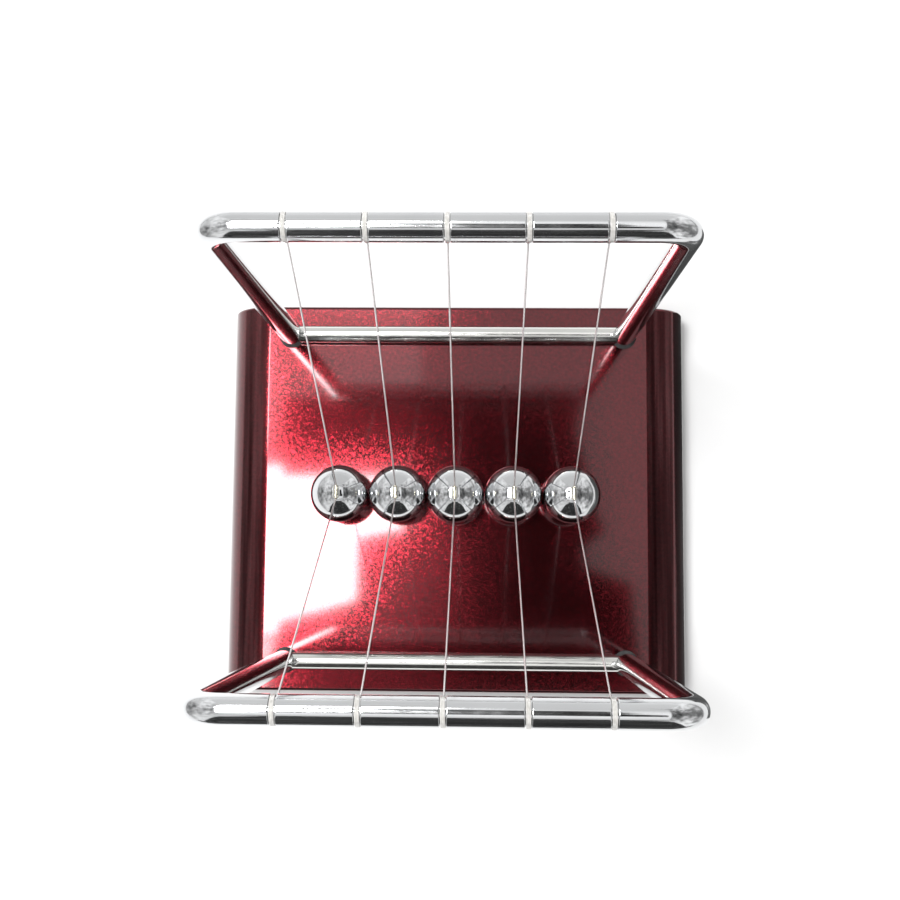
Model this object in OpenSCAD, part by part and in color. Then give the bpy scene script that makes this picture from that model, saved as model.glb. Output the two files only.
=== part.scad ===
/* [Base] */
// Width of the base, along the row of balls
base_w = 186; // [176:1:210]
// Depth of the base, front to back
base_d = 154; // [150:1:180]
// Height of the base shell, without its feet
base_h = 20; // [18:0.5:26]
// Radius of the rounded left and right shoulders
shoulder_r = 17; // [10:0.5:17]
// Radius of the front and back edges
edge_r = 1.2; // [0.5:0.1:2]
// Wall thickness of the base shell
base_wall = 3; // [2:0.25:3.5]
// Thickness of the plate that closes the base
cover_t = 2.4; // [1.6:0.2:3]

/* [Frame] */
// Height of the tube frames above the base
frame_h = 158; // [130:1:200]
// Distance between the two legs of one frame
leg_span = 134; // [128:1:134]
// Distance between the front and back frames
frame_span = 130; // [120:1:132]
// Outer diameter of the frame tube
tube_d = 8.5; // [7.5:0.25:9]
// Wall of the frame tube
tube_wall = 1; // [0.8:0.1:1.2]
// Radius of the tube's bends, at its centre line
bend_r = 9; // [7:0.5:12]
// Width of a string groove
groove_w = 1.9; // [1.8:0.1:2.5]
// Depth of a string groove
groove_deep = 0.6; // [0.6:0.05:0.7]
// Diameter of the rod between the feet of one frame
rod_d = 6.5; // [4:0.25:7]

/* [Balls] */
// Diameter of a ball
ball_d = 22; // [19:0.5:22]
// Gap between two balls that hang still
ball_gap = 0.3; // [0.2:0.05:0.5]
// Height of the balls above the base
ball_clear = 6.6; // [5:0.2:15]
// Outer diameter of the sleeve on a ball
sleeve_d = 1.6; // [1.5:0.1:2]
// Length of the sleeve on a ball
sleeve_l = 5; // [4:0.25:6]
// Diameter of the string
string_d = 0.55; // [0.4:0.05:0.55]

/* [Feet and fixings] */
// Height of a rubber foot below the base shell
foot_h = 2; // [1.5:0.25:3]
// Diameter of a rubber foot
foot_d = 14; // [10:0.5:16]
// Diameter of a frame screw's thread
leg_screw_d = 4; // [3:0.5:4]
// Diameter of a cover screw's thread
cover_screw_d = 3; // [2.5:0.5:3]

/* [Hidden] */
ball_count = 5;
numbers = [for (i = [1:ball_count]) i];
corners = [[-1, -1], [1, -1], [-1, 1], [1, 1]];
corner_names = ["front_left", "front_right", "back_left", "back_right"];
corner_ids = [for (k = [0:len(corners) - 1]) k];
fine = 96;
small = 32;
joint_gap = 0.02;           // between parts that are pressed or brazed together
fit_gap = 0.2;              // around the cover plate
overlap = 0.02;             // between two solids of one piece
cut = 1;                    // how far a cutting solid runs past a face

// Base
base_bottom = foot_h;
base_top = base_bottom + base_h;
half_flat = base_w / 2 - shoulder_r;
cover_recess = 0.6;
cover_top = base_bottom + cover_recess + cover_t;
inner_r = shoulder_r - base_wall;
inner_d = base_d - 2 * base_wall;
roof_z = base_top - base_wall;
boss_d = 8;
boss_in_x = 31;             // from the base's left or right side to a screw boss
boss_in_y = 33;             // from its front or back to a screw boss
boss_x = base_w / 2 - boss_in_x;
boss_y = base_d / 2 - boss_in_y;
pad_d = 13;
pad_t = 3;
foot_in = 15;               // from the base's sides to a foot's centre
foot_x = base_w / 2 - foot_in;
foot_y = base_d / 2 - foot_in;
foot_edge = 0.8;

// Frame
leg_x = leg_span / 2;
frame_y = frame_span / 2;
tube_r = tube_d / 2;
tube_inner_r = tube_r - tube_wall;
rail_z = base_top + frame_h - tube_r;
rail_half = leg_x - bend_r;
groove_r = tube_r - groove_deep;
plug_l = 12;
plug_r = tube_inner_r - joint_gap;
washer_d = 9;
washer_t = 0.8;
leg_head_h = 2.6;
screw_slack = 0.1;          // thread to hole, on the diameter
hole_slack = 0.6;           // clearance hole over the thread
leg_screw_l = 15;
head_ratio = 1.9;           // a pan head's diameter over its thread's
leg_head_d = head_ratio * leg_screw_d;
cover_screw_l = 9;
cover_head_d = 5.4;
cover_head_h = 1.4;
recess_span = 0.6;          // of a screw's cross recess, in head diameters
recess_slot = 0.14;         // width of its slots, in head diameters

// Balls and strings
pitch = ball_d + ball_gap;
ball_r = ball_d / 2;
ball_z = base_top + ball_clear + ball_r;
string_r = string_d / 2;
sleeve_seat = 0.25;         // how far the sleeve is let into the ball
sleeve_z = ball_z + ball_r + sleeve_d / 2 - sleeve_seat;
bore_slack = 0.25;          // around the string, on the diameter
sleeve_bore = string_d + bore_slack;
string_out = sleeve_l / 2 + string_r;
knot_r = 0.75;
knot_l = 1.6;
neck_l = 1.9;               // string between a groove's floor and the knot's centre
knot_gap = 0.35;            // between the neck and the knot
knot_drop = groove_r + neck_l;
neck_start = knot_drop - knot_r - knot_gap;
rise = rail_z - sleeve_z;
reach = frame_y - string_out;
lean = atan2(reach, rise);
knot_y = frame_y - knot_drop * sin(lean);
knot_z = rail_z - knot_drop * cos(lean);
turn_r = groove_r + string_r + joint_gap;
turns = 3;
turn_pitch = string_d + joint_gap;

function ball_x(i) = (i - (ball_count + 1) / 2) * pitch;

// A cylinder from point a to point b
module bar(a, b, r, sides = small) {
    v = b - a;
    translate(a)
        rotate([0, acos(v.z / norm(v)), atan2(v.y, v.x)])
            cylinder(h = norm(v), r = r, $fn = sides);
}

// A cylinder along Y, centred on the origin
module bar_y(l, r, sides = small) {
    rotate([90, 0, 0]) cylinder(h = l, r = r, center = true, $fn = sides);
}

// Places a child at each corner of a rectangle of half sizes x and y
module at_corners(x, y) {
    for (c = corners) translate([c.x * x, c.y * y, 0]) children();
}

// A rectangle whose two outer corners, at its far x, are rounded
module edge_section(w, l, r) {
    translate([0, -l / 2]) square([w - r, l]);
    translate([0, r - l / 2]) square([w, l - 2 * r]);
    for (s = [-1, 1]) translate([w - r, s * (l / 2 - r)]) circle(r = r, $fn = small);
}

// A block with round left and right shoulders, from z = low to z = top, with radius r on its long edges
module shouldered_block(half, side_r, l, low, top, r) {
    side_z = top - side_r;
    translate([half, 0, low]) rotate([0, -90, 0]) linear_extrude(2 * half) edge_section(top - low, l, r);
    for (s = [0, 1]) mirror([s, 0, 0]) {
        translate([half, 0, side_z])
            rotate([-90, -90, 0])
                rotate_extrude(angle = 90, $fn = fine) edge_section(side_r, l, r);
        if (side_z > low)
            translate([half, 0, low])
                linear_extrude(side_z - low) edge_section(side_r, l, r);
    }
}

// Hollow moulded base with a lacquered top, open below
module base_shell() color("#8c1423") difference() {
    union() {
        difference() {
            shouldered_block(half_flat, shoulder_r, base_d, base_bottom, base_top, edge_r);
            shouldered_block(half_flat, inner_r, inner_d, base_bottom - cut, roof_z, edge_r / 2);
        }
        at_corners(leg_x, frame_y)
            translate([0, 0, roof_z - pad_t]) cylinder(h = pad_t + cut, d = pad_d, $fn = small);
        at_corners(boss_x, boss_y)
            translate([0, 0, cover_top]) cylinder(h = roof_z + cut - cover_top, d = boss_d, $fn = small);
    }
    at_corners(leg_x, frame_y)
        translate([0, 0, roof_z - pad_t - cut])
            cylinder(h = base_h, d = leg_screw_d + hole_slack, $fn = small);
    at_corners(boss_x, boss_y)
        translate([0, 0, cover_top - cut])
            cylinder(h = cover_screw_l + cut, d = cover_screw_d + screw_slack, $fn = small);
}

// Flat plate that closes the base from below
module base_bottom_cover() color("#1b1b1d") difference() {
    translate([0, 0, cover_top - cover_t / 2])
        cube([base_w - 2 * base_wall - 2 * fit_gap, inner_d - 2 * fit_gap, cover_t], center = true);
    at_corners(boss_x, boss_y) {
        translate([0, 0, base_bottom])
            cylinder(h = base_h, d = cover_screw_d + hole_slack, $fn = small);
        translate([0, 0, base_bottom])
            cylinder(h = cover_recess + cover_head_h, d = cover_head_d + hole_slack, $fn = small);
    }
}

// Rubber foot stuck under the cover, with a rounded lower edge
module foot(c) color("#26262a") translate([c.x * foot_x, c.y * foot_y, 0])
    rotate_extrude($fn = fine) {
        translate([0, foot_edge]) square([foot_d / 2, foot_h + cover_recess - foot_edge]);
        square([foot_d / 2 - foot_edge, foot_h]);
        translate([foot_d / 2 - foot_edge, foot_edge]) circle(r = foot_edge, $fn = small);
    }

// The solid inside a bent tube of radius r, from z = low on one leg over the rail to the other leg
module frame_path(r, low) {
    for (s = [0, 1]) mirror([s, 0, 0]) {
        translate([leg_x, 0, low]) cylinder(h = rail_z - bend_r - low, r = r, $fn = fine);
        translate([rail_half, 0, rail_z - bend_r])
            rotate([90, 0, 0])
                rotate_extrude(angle = 90, $fn = fine)
                    translate([bend_r, 0]) circle(r = r, $fn = fine);
    }
    translate([0, 0, rail_z])
        rotate([0, 90, 0])
            cylinder(h = 2 * rail_half, r = r, center = true, $fn = fine);
}

// One frame: two legs and a top rail, bent from one tube, with a groove for each ball
module frame_tube(side) color("#c9ccd0") translate([0, side * frame_y, 0]) difference() {
    frame_path(tube_r, base_top);
    frame_path(tube_inner_r, base_top - cut);
    for (i = numbers)
        translate([ball_x(i), 0, rail_z]) rotate([0, 90, 0])
            difference() {
                cylinder(h = groove_w, r = tube_r + cut, center = true, $fn = fine);
                cylinder(h = groove_w + cut, r = groove_r, center = true, $fn = fine);
            }
}

// Rod on the base between the feet of one frame, its ends cut to fit the legs
module stretcher_rod(side) color("#c9ccd0") translate([0, side * frame_y, base_top + rod_d / 2])
    difference() {
        rotate([0, 90, 0]) cylinder(h = leg_span, d = rod_d, center = true, $fn = fine);
        for (s = [-1, 1])
            translate([s * leg_x, 0, 0])
                cylinder(h = tube_d + rod_d, r = tube_r + joint_gap, center = true, $fn = fine);
    }

// Threaded plug pressed into the lower end of a leg
module leg_plug(c) color("#8d8f92") translate([c.x * leg_x, c.y * frame_y, base_top])
    difference() {
        cylinder(h = plug_l, r = plug_r, $fn = small);
        translate([0, 0, -cut]) cylinder(h = plug_l, d = leg_screw_d + screw_slack, $fn = small);
    }

// A pan-head screw with a cross recess, head down, its head resting on z = 0
module screw(d, l, head_d, h) {
    translate([0, 0, -overlap]) cylinder(h = l, d = d, $fn = small);
    difference() {
        translate([0, 0, -h]) cylinder(h = h, d = head_d, $fn = small);
        for (a = [0, 90])
            translate([0, 0, -h])
                rotate([0, 0, a])
                    cube([head_d * recess_span, head_d * recess_slot, h], center = true);
    }
}

// The four washers under the roof of the base
module leg_washers() color("#a5a7aa") at_corners(leg_x, frame_y)
    translate([0, 0, roof_z - pad_t - washer_t])
        difference() {
            cylinder(h = washer_t, d = washer_d, $fn = small);
            translate([0, 0, -cut])
                cylinder(h = washer_t + 2 * cut, d = leg_screw_d + hole_slack / 2, $fn = small);
        }

// The four screws that hold the frames
module leg_screws() color("#a5a7aa") at_corners(leg_x, frame_y)
    translate([0, 0, roof_z - pad_t - washer_t]) screw(leg_screw_d, leg_screw_l, leg_head_d, leg_head_h);

// The four screws that hold the cover
module cover_screws() color("#4a4b4e") at_corners(boss_x, boss_y)
    translate([0, 0, base_bottom + cover_recess + cover_head_h])
        screw(cover_screw_d, cover_screw_l, cover_head_d, cover_head_h);

// A steel ball
module ball(i) color("#b9bcc0") translate([ball_x(i), 0, ball_z]) sphere(r = ball_r, $fn = fine);

// Short sleeve brazed to the top of a ball, which the string runs through
module ball_sleeve(i) color("#cfc9b4") translate([ball_x(i), 0, 0]) difference() {
    translate([0, 0, sleeve_z]) bar_y(sleeve_l, sleeve_d / 2);
    translate([0, 0, sleeve_z]) bar_y(sleeve_l + cut, sleeve_bore / 2);
    translate([0, 0, ball_z]) sphere(r = ball_r + joint_gap / 2, $fn = fine);
}

// The swinging part of a string: up from the ball to a knot under each rail
module ball_string(i) color("#e6dede") translate([ball_x(i), 0, 0]) {
    translate([0, 0, sleeve_z]) bar_y(2 * string_out, string_r);
    for (s = [-1, 1]) {
        bend = [0, s * string_out, sleeve_z];
        translate(bend) sphere(r = string_r, $fn = small);
        bar(bend, [0, s * knot_y, knot_z], string_r);
        translate([0, s * knot_y, knot_z]) bar_y(knot_l, knot_r);
    }
}

// The part of the strings that is wound on one rail: turns in each groove and a neck towards the knot
module string_loops(side) color("#e6dede") for (i = numbers)
    translate([ball_x(i), side * frame_y, rail_z]) rotate([side * lean, 0, 0]) {
        for (t = [0:turns - 1])
            translate([(t - (turns - 1) / 2) * turn_pitch, 0, 0]) rotate([0, 90, 0])
                rotate_extrude($fn = fine) translate([turn_r, 0]) circle(r = string_r, $fn = small);
        translate([0, 0, -neck_start]) cylinder(h = neck_start - turn_r, r = string_r, $fn = small);
    }

base_shell();
base_bottom_cover();
for (k = corner_ids) foot(corners[k]);
frame_tube(-1);  // frame_tube_front
frame_tube(1);  // frame_tube_back
stretcher_rod(-1);  // stretcher_rod_front
stretcher_rod(1);  // stretcher_rod_back
for (k = corner_ids) leg_plug(corners[k]);
leg_washers();
leg_screws();
cover_screws();
string_loops(-1);  // string_loops_front
string_loops(1);  // string_loops_back
for (i = numbers) ball(i);
for (i = numbers) ball_sleeve(i);
for (i = numbers) ball_string(i);
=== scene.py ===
"""The looks of a desk Newton's cradle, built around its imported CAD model. Everything is in metres."""

import math

import bpy
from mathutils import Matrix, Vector


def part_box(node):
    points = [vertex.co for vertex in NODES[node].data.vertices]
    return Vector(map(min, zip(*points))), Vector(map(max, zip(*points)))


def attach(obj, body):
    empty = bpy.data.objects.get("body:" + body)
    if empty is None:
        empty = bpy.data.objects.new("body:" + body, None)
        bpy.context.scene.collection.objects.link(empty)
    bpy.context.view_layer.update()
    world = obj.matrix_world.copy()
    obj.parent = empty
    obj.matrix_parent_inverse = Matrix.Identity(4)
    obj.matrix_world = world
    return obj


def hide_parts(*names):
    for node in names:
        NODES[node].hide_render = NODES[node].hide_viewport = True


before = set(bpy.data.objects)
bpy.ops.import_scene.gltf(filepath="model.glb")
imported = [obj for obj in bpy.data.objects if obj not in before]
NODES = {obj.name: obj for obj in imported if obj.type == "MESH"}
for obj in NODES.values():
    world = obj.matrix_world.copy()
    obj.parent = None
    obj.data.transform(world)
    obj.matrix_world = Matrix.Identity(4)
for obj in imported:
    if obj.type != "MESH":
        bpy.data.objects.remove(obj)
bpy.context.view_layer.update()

MM = 0.001
BALLS = range(1, 6)
SIDES = {"front": -1, "back": 1}
X_AXIS = Vector((1, 0, 0))
Y_AXIS = Vector((0, 1, 0))
Z_AXIS = Vector((0, 0, 1))


def half_size(node):
    """Half the size of a CAD node's box."""
    low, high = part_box(node)
    return (high - low) / 2


def middle(node):
    """Centre of a CAD node's box."""
    low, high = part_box(node)
    return (high + low) / 2


def reach_at_top(node):
    """Largest x among the points of a CAD node that are at its very top."""
    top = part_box(node)[1].z
    return max(v.co.x for v in NODES[node].data.vertices if v.co.z > top - 0.01 * MM)


# Sizes read from the frame
base_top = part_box("base_shell")[1].z
tube_r = half_size("frame_tube_front").y
leg_x = half_size("frame_tube_front").x - tube_r
rail_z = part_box("frame_tube_front")[1].z - tube_r
rail_y = -middle("frame_tube_front").y
bend_r = leg_x - reach_at_top("frame_tube_front")
rod_r = half_size("stretcher_rod_front").y
ball_r = half_size("ball_1").z
ball_z = middle("ball_1").z
sleeve_r = half_size("ball_sleeve_1").x
sleeve_half = half_size("ball_sleeve_1").y
sleeve_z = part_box("ball_sleeve_1")[1].z - sleeve_r
knot_r = half_size("string_1").x
knot_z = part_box("string_1")[1].z - knot_r

# Sizes repeated from the CAD design
TUBE_WALL = 1.0 * MM
GROOVE_WIDTH = 1.9 * MM
GROOVE_DEPTH = 0.6 * MM
STRING_R = 0.275 * MM
BORE_R = 0.4 * MM
KNOT_DROP = 5.55 * MM       # rail centre to knot centre
TURN_PITCH = 0.57 * MM
TURNS = 3
JOINT_GAP = 0.02 * MM       # between parts that are pressed or wound together

# How finely round shapes are divided
TUBE_SIDES = 72
BEND_STEPS = 20
ROD_SIDES = 64
FOOT_SIDES = 64
SEAL_STEPS = 60
BALL_STEPS = 40
SLEEVE_SIDES = 40
STRING_SIDES = 16
WOUND_SIDES = 12
TURN_STEPS = 36

string_out = sleeve_half + STRING_R
lean = math.atan2(rail_y - string_out, rail_z - sleeve_z)
knot_y = rail_y - KNOT_DROP * math.sin(lean)
turn_r = tube_r - GROOVE_DEPTH + STRING_R + JOINT_GAP


# ---------------------------------------------------------------- materials

class Look:
    """A Principled material whose sockets are set by name, with short calls for its texture nodes."""

    def __init__(self, name, **sockets):
        self.material = bpy.data.materials.new(name)
        self.material.use_nodes = True
        self.tree = self.material.node_tree
        self.shader = self.tree.nodes["Principled BSDF"]
        for socket, value in sockets.items():
            self.shader.inputs[socket.replace("_", " ")].default_value = value
        self.place = self.tree.nodes.new("ShaderNodeTexCoord").outputs["Object"]

    def node(self, kind, **values):
        made = self.tree.nodes.new(kind)
        for key, value in values.items():
            setattr(made, key, value)
        return made

    def join(self, source, target):
        self.tree.links.new(source, target)

    def stretched(self, scale):
        """Object coordinates multiplied by a vector."""
        scaled = self.node("ShaderNodeVectorMath", operation="MULTIPLY")
        self.join(self.place, scaled.inputs[0])
        scaled.inputs[1].default_value = scale
        return scaled.outputs[0]

    def noise(self, scale, detail=3.0, place=None):
        made = self.node("ShaderNodeTexNoise")
        made.inputs["Scale"].default_value = scale
        made.inputs["Detail"].default_value = detail
        self.join(place or self.place, made.inputs["Vector"])
        return made.outputs["Fac"]

    def cells(self, size):
        """Random colour of Voronoi cells of about that size."""
        made = self.node("ShaderNodeTexVoronoi")
        made.inputs["Scale"].default_value = 1 / size
        self.join(self.place, made.inputs["Vector"])
        return made.outputs["Color"]

    def ramp(self, fac, stops):
        """Colour ramp; stops are (position, colour or grey)."""
        made = self.node("ShaderNodeValToRGB")
        while len(made.color_ramp.elements) < len(stops):
            made.color_ramp.elements.new(0.5)
        for element, (position, colour) in zip(made.color_ramp.elements, stops):
            element.position = position
            element.color = (*colour, 1) if hasattr(colour, "__len__") else (colour, colour, colour, 1)
        self.join(fac, made.inputs["Fac"])
        return made.outputs["Color"]

    def feed(self, source, socket):
        self.join(source, self.shader.inputs[socket])
        return self

    def bump(self, height, distance, strength=1.0):
        made = self.node("ShaderNodeBump")
        made.inputs["Distance"].default_value = distance
        made.inputs["Strength"].default_value = strength
        self.join(height, made.inputs["Height"])
        return self.feed(made.outputs["Normal"], "Normal")


def lacquer():
    """Cherry paint with metal flakes of two sizes that tilt every way, under a smooth clear coat."""
    look = Look("cherry_flake_lacquer", Metallic=1.0, Roughness=0.12, Coat_Weight=1.0,
                Coat_Roughness=0.07, Coat_IOR=1.5)
    facing = look.node("ShaderNodeNewGeometry").outputs["Normal"]
    for size, tilt in [(0.3 * MM, 0.026), (0.9 * MM, 0.008)]:
        spread = look.node("ShaderNodeVectorMath", operation="MULTIPLY_ADD")
        look.join(look.cells(size), spread.inputs[0])
        spread.inputs[1].default_value = (2 * tilt,) * 3
        spread.inputs[2].default_value = (-tilt,) * 3
        tilted = look.node("ShaderNodeVectorMath", operation="ADD")
        look.join(facing, tilted.inputs[0])
        look.join(spread.outputs[0], tilted.inputs[1])
        facing = tilted.outputs[0]
    unit = look.node("ShaderNodeVectorMath", operation="NORMALIZE")
    look.join(facing, unit.inputs[0])
    look.feed(unit.outputs[0], "Normal")
    clumps = look.noise(900, 4)
    colour = look.ramp(clumps, [(0.3, (0.065, 0.0028, 0.005)), (0.7, (0.125, 0.0062, 0.011))])
    return look.feed(colour, "Base Color").material


def chrome(name, colour, smudge, grain):
    """Polished plated metal: faint smudges change its roughness and fine lines break its reflections."""
    look = Look(name, Metallic=1.0)
    tone = look.ramp(look.noise(60, 4), [(0.3, [c * 0.94 for c in colour]), (0.7, colour)])
    look.feed(tone, "Base Color")
    look.feed(look.ramp(look.noise(180, 5), [(0.35, smudge[0]), (0.75, smudge[1])]), "Roughness")
    return look.bump(look.noise(1, 2, look.stretched(grain)), 0.002 * MM, 0.4).material


def steel(name, colour, roughness):
    """Dull zinc or blackened steel."""
    look = Look(name, Metallic=1.0)
    look.feed(look.ramp(look.noise(900, 5), [(0.3, [c * 0.7 for c in colour]), (0.7, colour)]), "Base Color")
    look.feed(look.ramp(look.noise(1500, 4), [(0.3, roughness), (0.7, roughness + 0.2)]), "Roughness")
    return look.bump(look.noise(4000, 3), 0.01 * MM, 0.5).material


def nylon(name, dark, light, clear):
    """Translucent monofilament, slightly uneven along its length."""
    look = Look(name, Roughness=0.3, IOR=1.45, Specular_IOR_Level=0.15, Transmission_Weight=clear)
    look.feed(look.ramp(look.noise(1200, 3), [(0.3, dark), (0.7, light)]), "Base Color")
    return look.bump(look.noise(2500, 3), 0.02 * MM, 0.6).material


def rubber():
    look = Look("foot_rubber", IOR=1.5)
    look.feed(look.ramp(look.noise(700, 5), [(0.3, 0.012), (0.75, 0.032)]), "Base Color")
    look.feed(look.ramp(look.noise(300, 4), [(0.3, 0.62), (0.7, 0.85)]), "Roughness")
    return look.bump(look.noise(5000, 4), 0.04 * MM, 0.7).material


def moulded_plastic():
    """Black plastic with the fine spark texture of its mould."""
    look = Look("cover_plastic", IOR=1.5)
    look.feed(look.ramp(look.noise(90, 4), [(0.3, 0.016), (0.7, 0.026)]), "Base Color")
    look.feed(look.ramp(look.noise(400, 4), [(0.3, 0.42), (0.7, 0.6)]), "Roughness")
    return look.bump(look.noise(2600, 5), 0.06 * MM, 0.8).material


LACQUER = lacquer()
TUBE_CHROME = chrome("frame_chrome", (0.80, 0.81, 0.82), (0.09, 0.15), (40, 2500, 2500))
ROD_CHROME = chrome("rod_chrome", (0.86, 0.86, 0.83), (0.12, 0.2), (40, 2500, 2500))
BALL_CHROME = chrome("ball_chrome", (0.72, 0.73, 0.74), (0.04, 0.09), (900, 900, 900))
SLEEVE_METAL = chrome("sleeve_nickel", (0.83, 0.79, 0.66), (0.12, 0.25), (3000, 300, 3000))
SOLDER = steel("solder", (0.62, 0.62, 0.60), 0.22)
ZINC = steel("zinc_steel", (0.62, 0.63, 0.66), 0.32)
DARK_STEEL = steel("blackened_steel", (0.16, 0.16, 0.17), 0.38)
# Painted reflection: the swinging strings' dark pink colour paints in the red lacquer seen through the clear
# line.
NYLON_PAINTED_LACQUER_TINT = nylon("nylon_line", (0.13, 0.08, 0.08), (0.22, 0.15, 0.15), 0.7)
# Painted highlight: the wound turns get a lighter copy of the same line's colour, standing for the highlights
# on the stacked turns.
WOUND_NYLON_PAINTED_HIGHLIGHT = nylon("wound_nylon_line_painted_highlight", (0.36, 0.35, 0.33), (0.52, 0.51, 0.49), 0.3)
RUBBER = rubber()
PLASTIC = moulded_plastic()

CAD_LOOKS = {
    "base_shell": LACQUER,
    "base_bottom_cover": PLASTIC,
    "leg_washers": ZINC,
    "leg_screws": ZINC,
    "cover_screws": DARK_STEEL,
}


def paint_cad_nodes():
    """Gives every CAD node that stays its procedural material."""
    for name, obj in NODES.items():
        look = ZINC if name.startswith("leg_plug") else CAD_LOOKS.get(name)
        if look:
            for place in obj.material_slots:
                place.material = look


# ---------------------------------------------------------------- mesh building

SHARP_EDGE = math.radians(50)


class Shape:
    """Vertices and faces of one piece, built up from rows of points."""

    def __init__(self):
        self.points = []
        self.faces = []

    def skin(self, rows, ring=True, loop=False, ends=False):
        """Quads between neighbouring rows. ring closes each row, loop joins the last row to the first,
        and ends closes the first and last rows with one face each."""
        start = len(self.points)
        width = len(rows[0])
        for row in rows:
            self.points.extend(row)
        last = len(rows) if loop else len(rows) - 1
        for i in range(last):
            a = start + i * width
            b = start + (i + 1) % len(rows) * width
            for j in range(width if ring else width - 1):
                k = (j + 1) % width
                self.faces.append((a + j, a + k, b + k, b + j))
        if ends:
            final = start + (len(rows) - 1) * width
            self.faces.append(tuple(range(start + width - 1, start - 1, -1)))
            self.faces.append(tuple(range(final, final + width)))
        return self

    def piece(self, name, look, body, slot, stands_for=()):
        """Makes the Blender object, riding on a CAD body."""
        mesh = bpy.data.meshes.new(name)
        mesh.from_pydata(self.points, [], self.faces)
        mesh.polygons.foreach_set("use_smooth", [len(f) <= 4 for f in self.faces])
        mesh.set_sharp_from_angle(angle=SHARP_EDGE)
        mesh.materials.append(look)
        obj = bpy.data.objects.new(name, mesh)
        bpy.context.scene.collection.objects.link(obj)
        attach(obj, body)
        if stands_for:
            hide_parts(*stands_for)
        return obj


def rounded(corners, radius, steps):
    """Points of a line through the corners, with an arc of that radius in place of each inner corner."""
    corners = [Vector(c) for c in corners]
    points = [corners[0]]
    for a, b, c in zip(corners, corners[1:], corners[2:]):
        u = (a - b).normalized()
        v = (c - b).normalized()
        half = u.angle(v) / 2
        centre = b + (u + v).normalized() * (radius / math.sin(half))
        start = (b + u * (radius / math.tan(half)) - centre).normalized()
        end = (b + v * (radius / math.tan(half)) - centre).normalized()
        points += [centre + start.slerp(end, k / steps) * radius for k in range(steps + 1)]
    return points + [corners[-1]]


def circle(centre, across, up, radius, sides):
    turn = [2 * math.pi * k / sides for k in range(sides)]
    return [centre + (across * math.cos(t) + up * math.sin(t)) * radius for t in turn]


def tube_rows(points, radius, sides, up):
    """Rings along a line. Each ring's frame is carried on from the one before, so the tube doesn't twist."""
    rows = []
    for i, point in enumerate(points):
        ahead = points[min(i + 1, len(points) - 1)] - points[max(i - 1, 0)]
        across = ahead.cross(up).normalized()
        up = across.cross(ahead).normalized()
        rows.append(circle(point, across, up, radius[i] if hasattr(radius, "__len__") else radius, sides))
    return rows


def lathe(profile, centre, axis, across, sides):
    """Rows of a turned shape; profile is (distance along the axis, radius)."""
    up = axis.cross(across)
    return [circle(centre + axis * along, across, up, radius, sides) for along, radius in profile]


# ---------------------------------------------------------------- pieces

def groove_profile(x):
    """(x, radius) across one groove whose edges are slightly broken."""
    floor = tube_r - GROOVE_DEPTH
    edge = 0.12 * MM
    half_w = GROOVE_WIDTH / 2
    half = [(half_w + 3 * edge, tube_r), (half_w + edge, tube_r), (half_w + edge * 0.3, tube_r - edge * 0.3),
            (half_w, tube_r - edge), (half_w - edge * 0.2, floor + edge), (half_w - edge, floor)]
    return [(x - along, r) for along, r in half] + [(x + along, r) for along, r in reversed(half)]


FOOT_CHAMFER = 0.4 * MM


def chrome_frame(side_name):
    """Two legs and the grooved top rail as one bent tube with its wall."""
    y = SIDES[side_name] * rail_y
    corners = [(-leg_x, y, base_top), (-leg_x, y, rail_z), (leg_x, y, rail_z), (leg_x, y, base_top)]
    inside = rounded(corners, bend_r, BEND_STEPS)
    split = len(inside) // 2
    rail = [p for i in BALLS for p in groove_profile(middle(f"ball_{i}").x)]
    points = inside[:split] + [Vector((x, y, rail_z)) for x, r in rail] + inside[split:]
    radii = [tube_r] * split + [r for x, r in rail] + [tube_r] * split
    step = Z_AXIS * FOOT_CHAMFER
    points[0:1] = [points[0], points[0] + step, points[0] + step * 2]
    points[-1:] = [points[-1] + step * 2, points[-1] + step, points[-1]]
    radii = [tube_r - FOOT_CHAMFER, tube_r] + radii + [tube_r, tube_r - FOOT_CHAMFER]
    outer = tube_rows(points, radii, TUBE_SIDES, Y_AXIS)
    inner = tube_rows(inside, tube_r - TUBE_WALL, TUBE_SIDES, Y_AXIS)
    shape = Shape().skin(outer + inner[::-1], loop=True)
    shape.piece(f"chrome_frame_{side_name}", TUBE_CHROME, "cradle", "frame_chrome",
                [f"frame_tube_{side_name}"])


def chrome_rod(side_name):
    """Rod between two legs, its ends hollowed to sit against them."""
    y = SIDES[side_name] * rail_y
    z = base_top + rod_r
    seat = tube_r + JOINT_GAP
    core = (0.02, 0.5)          # rings inside each end face, in rod radii

    def ring(side, back, radius):
        points = circle(Vector((0, y, z)), Y_AXIS, Z_AXIS, radius, ROD_SIDES)
        for p in points:
            p.x = side * (leg_x - back - math.sqrt(seat ** 2 - (p.y - y) ** 2))
        return points

    lip = 0.15 * MM
    rows = [ring(-1, 0, rod_r * f) for f in core] + [ring(-1, 0, rod_r - lip), ring(-1, lip, rod_r)]
    rows += [ring(-1, 2 * MM, rod_r), ring(1, 2 * MM, rod_r), ring(1, lip, rod_r), ring(1, 0, rod_r - lip)]
    rows += [ring(1, 0, rod_r * f) for f in reversed(core)]
    shape = Shape().skin(rows, ends=True)
    shape.piece(f"chrome_rod_{side_name}", ROD_CHROME, "cradle", "frame_chrome",
                [f"stretcher_rod_{side_name}"])


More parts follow.
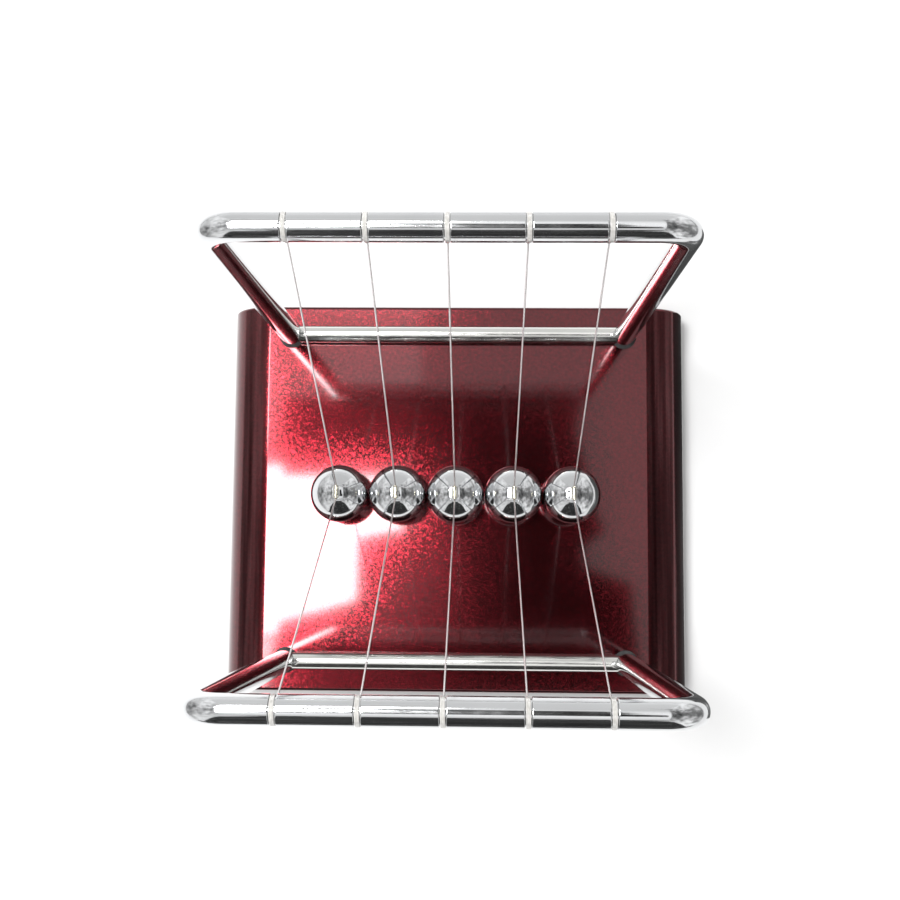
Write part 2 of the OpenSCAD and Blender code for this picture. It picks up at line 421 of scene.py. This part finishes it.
def leg_seal(x_side, side_name):
    """Dark ring round a leg's foot, lying on the lacquer and open where the rod comes in; it gives the dark
    line where the leg meets the base.
    """
    r = tube_r + 0.8 * MM
    thick = 0.6 * MM
    inner_r = tube_r - 0.3 * MM
    profile = [(0, inner_r), (0, r), (0.5 * thick, r), (0.85 * thick, r - 0.2 * MM),
               (thick, r - 0.5 * MM), (thick, inner_r)]
    centre = Vector((x_side * leg_x, SIDES[side_name] * rail_y, base_top))
    opening = math.asin(rod_r / r)
    rows = []
    for k in range(SEAL_STEPS + 1):
        turn = opening + (2 * math.pi - 2 * opening) * k / SEAL_STEPS
        out = -x_side * X_AXIS * math.cos(turn) + Y_AXIS * math.sin(turn)
        rows.append([centre + out * radius + Z_AXIS * z for z, radius in profile])
    end = "left" if x_side < 0 else "right"
    Shape().skin(rows, ends=True).piece(f"leg_seal_{side_name}_{end}", RUBBER, "cradle", "foot_rubber")


def ball_shape(centre, steps):
    """Sphere as six curved square patches, so that its quads are even."""
    shape = Shape()
    found = {}

    def point(direction):
        key = tuple(round(c, 6) for c in direction)
        if key not in found:
            found[key] = len(shape.points)
            shape.points.append(centre + direction * ball_r)
        return found[key]

    spread = [math.tan(math.pi / 4 * (2 * k / steps - 1)) for k in range(steps + 1)]
    for axis in range(3):
        for sign in (-1, 1):
            def at(i, j):
                corner = [0, 0, 0]
                corner[axis] = sign
                corner[(axis + 1) % 3] = sign * spread[i]
                corner[(axis + 2) % 3] = spread[j]
                return point(Vector(corner).normalized())
            for i in range(steps):
                for j in range(steps):
                    shape.faces.append((at(i, j), at(i + 1, j), at(i + 1, j + 1), at(i, j + 1)))
    return shape


def solder_bead(x):
    """Thin fillet that joins the sleeve to the ball, as a closed saddle."""
    half_x = 1.3 * MM
    half_y = sleeve_half - 0.35 * MM
    across = [k / 12 for k in range(-12, 13)]
    top, under = [], []
    for v in [k / 14 for k in range(-14, 15)]:
        fade = math.sqrt(max(0.0, 1 - v ** 6))
        row_top, row_under = [], []
        for u in across:
            place = Vector((u * half_x, v * half_y, 0))
            skin = ball_z + math.sqrt(ball_r ** 2 - place.length_squared)
            rise = 0.75 * MM * (1 - abs(u)) ** 2 * fade
            row_top.append(Vector((x + place.x, place.y, skin + rise + 0.01 * MM)))
            row_under.append(Vector((x + place.x, place.y, skin - 0.06 * MM)))
        top.append(row_top)
        under.append(row_under)
    rows = [t + u[::-1] for t, u in zip(top, under)]
    return Shape().skin(rows, ends=True)


def sleeve(x):
    """Short tube with rolled lips."""
    lip = 0.16 * MM
    body = sleeve_r - 0.1 * MM
    half = [(sleeve_half - 5 * lip, body), (sleeve_half - 3 * lip, body + 0.02 * MM),
            (sleeve_half - 2 * lip, sleeve_r), (sleeve_half - lip, sleeve_r),
            (sleeve_half - 0.3 * lip, sleeve_r - 0.5 * lip),
            (sleeve_half, sleeve_r - 1.2 * lip), (sleeve_half - 0.4 * lip, BORE_R + 0.1 * lip),
            (sleeve_half - 2 * lip, BORE_R)]
    profile = half + [(-along, r) for along, r in reversed(half)]
    rows = lathe(profile, Vector((x, 0, sleeve_z)), Y_AXIS, X_AXIS, SLEEVE_SIDES)
    return Shape().skin(rows, loop=True)


def barrel_knot(centre, along, out, turns=2.0):
    """Rings of a short coil round the string's own end."""
    side = along.cross(out).normalized()
    out = side.cross(along).normalized()
    coil_r = knot_r - STRING_R
    coil_pitch = 2.05 * STRING_R
    steps = 44
    points = []
    for k in range(steps + 1):
        t = k / steps
        turn = 2 * math.pi * turns * t
        points.append(centre + along * (turns * coil_pitch * (t - 0.5))
                      + (out * math.cos(turn) + side * math.sin(turn)) * coil_r)
    return tube_rows(points, STRING_R, WOUND_SIDES, along)


def string(i):
    """The swinging part of one string, from knot to knot through the sleeve."""
    x = middle(f"ball_{i}").x
    ends = [Vector((x, s * knot_y, knot_z)) for s in (-1, 1)]
    bends = [Vector((x, s * string_out, sleeve_z)) for s in (-1, 1)]
    bend_radius = 0.9 * MM
    line = rounded([ends[0], *bends, ends[1]], bend_radius, 10)
    shape = Shape().skin(tube_rows(line, STRING_R, STRING_SIDES, X_AXIS), ends=True)
    for end, bend in zip(ends, bends):
        along = (end - bend).normalized()
        shape.skin(barrel_knot(end, along, X_AXIS), ends=True)
    shape.piece(f"nylon_string_{i}", NYLON_PAINTED_LACQUER_TINT, f"pendulum_{i}", "nylon_string", [f"string_{i}"])


def winding_rows(x, side):
    """One string's turns in its groove: up from the knot, round the rail, and back down to the knot."""
    centre = Vector((x, side * rail_y, rail_z))
    down = Vector((0, -side * math.sin(lean), -math.cos(lean)))
    over = X_AXIS.cross(down)
    knot_end = KNOT_DROP - knot_r * 0.9
    touch = math.acos(turn_r / KNOT_DROP)
    total = 2 * math.pi * TURNS - 2 * touch
    steps = TURN_STEPS * TURNS
    width = TURN_PITCH * (TURNS - 1)
    points = [centre + down * knot_end + X_AXIS * (-0.25 * width)]
    for k in range(steps + 1):
        t = k / steps
        turn = touch + total * t
        points.append(centre + X_AXIS * (width * (t - 0.5))
                      + (down * math.cos(turn) + over * math.sin(turn)) * turn_r)
    points.append(centre + down * knot_end + X_AXIS * (0.25 * width))
    return tube_rows(points, STRING_R, WOUND_SIDES, X_AXIS)


def windings(side_name):
    """All five strings' turns on one rail, as one piece."""
    shape = Shape()
    for i in BALLS:
        shape.skin(winding_rows(middle(f"ball_{i}").x, SIDES[side_name]), ends=True)
    shape.piece(f"string_windings_{side_name}", WOUND_NYLON_PAINTED_HIGHLIGHT, "cradle", "nylon_string",
                [f"string_loops_{side_name}"])


def pendulum(i):
    """Ball, solder, sleeve and string of one pendulum."""
    x = middle(f"ball_{i}").x
    body = f"pendulum_{i}"
    steel_ball = ball_shape(Vector((x, 0, ball_z)), BALL_STEPS)
    steel_ball.piece(f"polished_ball_{i}", BALL_CHROME, body, "ball_steel", [f"ball_{i}"])
    solder_bead(x).piece(f"solder_bead_{i}", SOLDER, body, "sleeve_steel")
    sleeve(x).piece(f"string_sleeve_{i}", SLEEVE_METAL, body, "sleeve_steel", [f"ball_sleeve_{i}"])
    string(i)


def rubber_foot(name):
    """Moulded foot with a round lower edge and two shallow rings in its sole."""
    centre = middle(name)
    low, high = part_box(name)
    r = half_size(name).x
    edge = 0.8 * MM
    deep = 0.35 * MM
    sole = [(deep, 0.1 * MM), (deep, 2.2 * MM), (0, 2.6 * MM), (0, 3.8 * MM),
            (deep, 4.0 * MM), (deep, 4.6 * MM), (0, 4.8 * MM)]
    rim = [(edge * (1 - math.sin(a)), r - edge * (1 - math.cos(a))) for a in
           [math.pi / 2 * (1 - k / 8) for k in range(9)]]
    side = [(high.z - 0.2 * MM, r), (high.z, r - 0.2 * MM), (high.z, 0.1 * MM)]
    base = Vector((centre.x, centre.y, low.z))
    rows = lathe(sole + rim + side, base, Z_AXIS, X_AXIS, FOOT_SIDES)
    Shape().skin(rows, ends=True).piece("rubber_" + name, RUBBER, "cradle", "foot_rubber", [name])


# ---------------------------------------------------------------- stage, light and camera

def link(name, data):
    obj = bpy.data.objects.new(name, data)
    bpy.context.scene.collection.objects.link(obj)
    return obj


def make_camera():
    """Close above the cradle, a little to its right and towards its front."""
    data = bpy.data.cameras.new("camera")
    data.sensor_width = 36
    data.lens = 46.37
    camera = link("camera", data)
    camera.location = (9.05 * MM, -25.8 * MM, base_top + 462.4 * MM)
    camera.rotation_euler = [math.radians(angle) for angle in (5.51, 1.40, 0.48)]
    bpy.context.scene.camera = camera


def make_floor():
    look = Look("floor", Roughness=0.7)
    look.feed(look.ramp(look.noise(3, 2), [(0.3, 0.55), (0.7, 0.57)]), "Base Color")
    mesh = bpy.data.meshes.new("floor")
    radius = 3.0
    sides = 64
    ring = circle(Vector((0, 0, -0.02 * MM)), X_AXIS, Y_AXIS, radius, sides)
    mesh.from_pydata(ring, [], [tuple(range(sides))])
    mesh.materials.append(look.material)
    link("floor", mesh)


def make_world():
    """Pale surroundings: near white up to the horizon, greyer above it, and brightest straight overhead."""
    world = bpy.data.worlds.new("studio")
    world.use_nodes = True
    bpy.context.scene.world = world
    tree = world.node_tree
    direction = tree.nodes.new("ShaderNodeTexCoord").outputs["Generated"]
    split = tree.nodes.new("ShaderNodeSeparateXYZ")
    tree.links.new(direction, split.inputs[0])
    ramp = tree.nodes.new("ShaderNodeValToRGB")
    stops = [(0.0, 0.9), (0.25, 0.75), (0.85, 0.7), (1.0, 1.2)]
    while len(ramp.color_ramp.elements) < len(stops):
        ramp.color_ramp.elements.new(0.5)
    for element, (position, grey) in zip(ramp.color_ramp.elements, stops):
        element.position = position
        element.color = (grey, grey, grey, 1)
    tree.links.new(split.outputs["Z"], ramp.inputs["Fac"])
    tree.links.new(ramp.outputs["Color"], tree.nodes["Background"].inputs["Color"])


def soft_light(name, low, high, height, radiance):
    """Rectangular light facing down, from corner low to corner high in x and y."""
    data = bpy.data.lights.new(name, "AREA")
    data.shape = "RECTANGLE"
    data.size = high[0] - low[0]
    data.size_y = high[1] - low[1]
    data.energy = math.pi * radiance * data.size * data.size_y
    light = link(name, data)
    light.location = ((low[0] + high[0]) / 2, (low[1] + high[1]) / 2, height)
    light.visible_camera = False
    return light


def soft_sun():
    """Broad light from the back left that gives the shadows; it doesn't show in reflections."""
    data = bpy.data.lights.new("sun", "SUN")
    data.energy = 2.2
    data.angle = math.radians(24)
    sun = link("sun", data)
    sun.rotation_euler = Vector((-0.45, 0.3, 1)).to_track_quat("Z", "Y").to_euler()
    sun.visible_glossy = False


def make_lights():
    height = base_top + 0.70
    soft_light("key", (-0.23, -0.10), (-0.05, 0.07), height, 30)
    soft_light("side", (-0.27, -0.17), (-0.235, 0.08), height, 16)
    soft_light("side_front", (-0.235, -0.18), (-0.19, -0.105), height, 16)
    soft_light("side_back", (-0.29, 0.09), (-0.215, 0.22), height, 36)
    soft_light("back_glow", (-0.20, 0.125), (-0.05, 0.235), height, 1.0)
    soft_light("back_edge", (-0.24, 0.24), (-0.02, 0.32), height, 10)
    soft_sun()


def reflected_card(name, points, faces, dark, light, fade=0.0):
    """A sheet that only shows in reflections: cloth and people round the cradle, and painted shadow on the
    floor. It is mottled, and paler away from y = 0 by fade a metre, so that its shape doesn't stand out."""
    look = Look(name, Roughness=0.9)
    away = look.node("ShaderNodeVectorMath", operation="ABSOLUTE")
    look.join(look.place, away.inputs[0])
    split = look.node("ShaderNodeSeparateXYZ")
    look.join(away.outputs[0], split.inputs[0])
    paler = look.node("ShaderNodeMath", operation="MULTIPLY_ADD")
    look.join(split.outputs["Y"], paler.inputs[0])
    paler.inputs[1].default_value = fade
    look.join(look.noise(7, 5), paler.inputs[2])
    look.feed(look.ramp(paler.outputs[0], [(0.38, dark), (0.62, light), (1.0, 0.8)]), "Base Color")
    mesh = bpy.data.meshes.new(name)
    mesh.from_pydata(points, [], faces)
    mesh.materials.append(look.material)
    card = link(name, mesh)
    card.visible_camera = False
    card.visible_diffuse = False
    card.visible_shadow = False


def overhead_card():
    """Whoever leans over the cradle, with an opening in front of the key light."""
    z = base_top + 0.618
    outline = [(-0.175, 0.128), (0.107, 0.128), (0.100, 0.098), (0.116, 0.025), (0.126, 0.004),
               (0.106, -0.012), (0.108, -0.030), (0.150, -0.045), (0.16, -0.15), (-0.19, -0.15),
               (-0.175, -0.082), (-0.104, -0.062), (-0.104, -0.004), (-0.061, 0.004),
               (-0.061, 0.053), (-0.175, 0.053)]
    reflected_card("overhead_card", [(x, y, z) for x, y in outline], [tuple(range(len(outline)))], 0.01, 0.03)


def body_card():
    """Dark clothes some way in front of the cradle, and their shadow on the floor."""
    rows = []
    for y, z, half in [(-0.45, 0.0, 0.40), (-1.5, 0.0, 0.95), (-1.5, 1.0, 0.95),
                       (-1.5, 1.8, 0.92), (-1.5, 2.3, 0.85)]:
        rows.append([Vector((half * u, y, z + 1 * MM)) for u in (-1, -0.5, 0, 0.5, 1)])
    shape = Shape().skin(rows, ring=False)
    reflected_card("body_card", shape.points, shape.faces, 0.01, 0.05)


def shade_card():
    """Painted shadow: a dark strip on the floor along the right shoulder, for the shade next to the base,
    seen only in reflections.
    """
    points = [(x, y, 1 * MM) for x, y in [(0.097, -0.085), (0.26, -0.15), (0.26, 0.15), (0.097, 0.085)]]
    reflected_card("shade_card", points, [(0, 1, 2, 3)], 0.02, 0.06)


def side_card(name, side, dark, light):
    """Cloth beside the cradle, bowed round it and leaning in at the top."""
    rows = []
    for x, z in [(0.50, 0.03), (0.52, 0.35), (0.46, 0.62), (0.34, 0.76), (0.26, 0.80)]:
        rows.append([Vector((side * x * math.cos(0.7 * u), 0.6 * u, z))
                     for u in (-1, -0.6, -0.2, 0.2, 0.6, 1)])
    shape = Shape().skin(rows, ring=False)
    reflected_card(name, shape.points, shape.faces, dark, light, 0.9)


def make_cards():
    overhead_card()
    body_card()
    shade_card()
    side_card("left_card", -1, 0.05, 0.32)
    side_card("right_card", 1, 0.05, 0.16)


make_camera()
paint_cad_nodes()
for name in SIDES:
    chrome_frame(name)
    chrome_rod(name)
    leg_seal(-1, name)
    leg_seal(1, name)
    windings(name)
for number in BALLS:
    pendulum(number)
for name in [n for n in NODES if n.startswith("foot_")]:
    rubber_foot(name)
make_floor()
make_world()
make_lights()
make_cards()
bpy.context.scene.view_settings.view_transform = "Standard"
